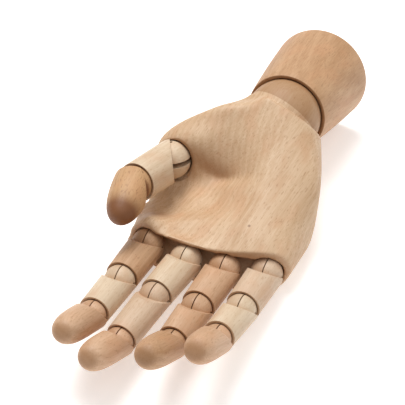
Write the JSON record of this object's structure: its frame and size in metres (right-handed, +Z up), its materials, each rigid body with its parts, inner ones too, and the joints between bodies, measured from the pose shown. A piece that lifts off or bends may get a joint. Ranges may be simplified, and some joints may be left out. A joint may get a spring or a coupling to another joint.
{
  "type": "wooden hand mannequin",
  "caption": "Jointed wooden right hand on a short flared forearm, lying palm up; fingers, thumb and wrist hinge and stay where they are put, for drawing or display.",
  "frame": {"origin": "centre of the hand's outline in plan, on the surface that it lies on", "axes": "+Z up out of the palm, -Y towards the fingertips, -X towards the thumb"},
  "size_m": [0.0754, 0.194, 0.0451],
  "materials": {
    "palm_wood": "sanded and waxed hardwood",
    "forearm_wood": "sanded and waxed hardwood",
    "pale_wood": "sanded and waxed hardwood",
    "warm_wood": "sanded and waxed hardwood",
    "brown_wood": "sanded and waxed hardwood",
    "steel": "plain bright steel"
  },
  "bodies": {
    "forearm": {"forearm": "forearm_wood", "forearm_plug": "brown_wood"},
    "wrist_swivel": {"wrist_eye_bolt": "steel", "wrist_washer": "steel", "wrist_disc_springs": "steel", "wrist_nut": "steel"},
    "palm": {"palm": "palm_wood", "wrist_pin": "steel", "index_knuckle_tongue": "steel", "middle_knuckle_tongue": "steel", "ring_knuckle_tongue": "steel", "little_knuckle_tongue": "steel", "thumb_root_tongue": "brown_wood"},
    "index_proximal": {"index_proximal": "brown_wood", "index_knuckle_pin": "steel", "index_middle_joint_tongue": "steel"},
    "index_middle": {"index_middle": "pale_wood", "index_middle_joint_pin": "steel", "index_end_joint_tongue": "steel"},
    "index_tip": {"index_tip": "warm_wood", "index_end_joint_pin": "steel"},
    "middle_proximal": {"middle_proximal": "pale_wood", "middle_knuckle_pin": "steel", "middle_middle_joint_tongue": "steel"},
    "middle_middle": {"middle_middle": "pale_wood", "middle_middle_joint_pin": "steel", "middle_end_joint_tongue": "steel"},
    "middle_tip": {"middle_tip": "warm_wood", "middle_end_joint_pin": "steel"},
    "ring_proximal": {"ring_proximal": "warm_wood", "ring_knuckle_pin": "steel", "ring_middle_joint_tongue": "steel"},
    "ring_middle": {"ring_middle": "warm_wood", "ring_middle_joint_pin": "steel", "ring_end_joint_tongue": "steel"},
    "ring_tip": {"ring_tip": "brown_wood", "ring_end_joint_pin": "steel"},
    "little_proximal": {"little_proximal": "pale_wood", "little_knuckle_pin": "steel", "little_middle_joint_tongue": "steel"},
    "little_middle": {"little_middle": "pale_wood", "little_middle_joint_pin": "steel", "little_end_joint_tongue": "steel"},
    "little_tip": {"little_tip": "warm_wood", "little_end_joint_pin": "steel"},
    "thumb_proximal": {"thumb_proximal": "pale_wood", "thumb_root_pin": "steel", "thumb_joint_tongue": "steel"},
    "thumb_tip": {"thumb_tip": "warm_wood", "thumb_joint_pin": "steel"}
  },
  "joints": [
    {"name": "wrist_twist", "type": "hinge", "parent": "forearm", "child": "wrist_swivel", "pos_m": [0.0077, 0.04788, 0.02945], "axis": [0, -0.9806, 0.1959], "range_deg": [-90, 90]},
    {"name": "wrist_bend", "type": "hinge", "parent": "wrist_swivel", "child": "palm", "pos_m": [0.0077, 0.04788, 0.02945], "axis": [-0.9397, 0.067, 0.3354], "range_deg": [-4, 40]},
    {"name": "index_knuckle_bend", "type": "hinge", "parent": "palm", "child": "index_proximal", "pos_m": [-0.0193, -0.02265, 0.0091], "axis": [-0.9995, -0.0314, 0], "range_deg": [-4.5, 28]},
    {"name": "index_middle_bend", "type": "hinge", "parent": "index_proximal", "child": "index_middle", "pos_m": [-0.01851, -0.04769, 0.01262], "axis": [-0.9995, -0.0314, 0], "range_deg": [-8, 56]},
    {"name": "index_end_bend", "type": "hinge", "parent": "index_middle", "child": "index_tip", "pos_m": [-0.01779, -0.07063, 0.01667], "axis": [-0.9995, -0.0314, 0], "range_deg": [-26, 38]},
    {"name": "middle_knuckle_bend", "type": "hinge", "parent": "palm", "child": "middle_proximal", "pos_m": [-0.0022, -0.0245, 0.0091], "axis": [-0.9988, 0.0488, 0], "range_deg": [-2.5, 45]},
    {"name": "middle_middle_bend", "type": "hinge", "parent": "middle_proximal", "child": "middle_middle", "pos_m": [-0.00342, -0.04943, 0.01172], "axis": [-0.9988, 0.0488, 0], "range_deg": [-3, 61]},
    {"name": "middle_end_bend", "type": "hinge", "parent": "middle_middle", "child": "middle_tip", "pos_m": [-0.00468, -0.07527, 0.01308], "axis": [-0.9988, 0.0488, 0], "range_deg": [-32, 32]},
    {"name": "ring_knuckle_bend", "type": "hinge", "parent": "palm", "child": "ring_proximal", "pos_m": [0.0132, -0.023, 0.0091], "axis": [-1, -0.0087, 0], "range_deg": [-4, 38]},
    {"name": "ring_middle_bend", "type": "hinge", "parent": "ring_proximal", "child": "ring_middle", "pos_m": [0.01343, -0.04888, 0.01251], "axis": [-1, -0.0087, 0], "range_deg": [-6, 58]},
    {"name": "ring_end_bend", "type": "hinge", "parent": "ring_middle", "child": "ring_tip", "pos_m": [0.01361, -0.07019, 0.01531], "axis": [-1, -0.0087, 0], "range_deg": [-34, 30]},
    {"name": "little_knuckle_bend", "type": "hinge", "parent": "palm", "child": "little_proximal", "pos_m": [0.0286, -0.01833, 0.0091], "axis": [-1, 0, 0], "range_deg": [-5.5, 28]},
    {"name": "little_middle_bend", "type": "hinge", "parent": "little_proximal", "child": "little_middle", "pos_m": [0.0286, -0.04293, 0.01299], "axis": [-1, 0, 0], "range_deg": [-13, 51]},
    {"name": "little_end_bend", "type": "hinge", "parent": "little_middle", "child": "little_tip", "pos_m": [0.0286, -0.06465, 0.01922], "axis": [-1, 0, 0], "range_deg": [-24, 40]},
    {"name": "thumb_root_bend", "type": "hinge", "parent": "palm", "child": "thumb_proximal", "pos_m": [-0.02582, 0.01308, 0.02172], "axis": [-0.2224, 0.2629, 0.9388], "range_deg": [-6, 34]},
    {"name": "thumb_end_bend", "type": "hinge", "parent": "thumb_proximal", "child": "thumb_tip", "pos_m": [-0.02971, -0.01297, 0.02809], "axis": [0.415, 0.1572, 0.8961], "range_deg": [-28, 32]}
  ]
}
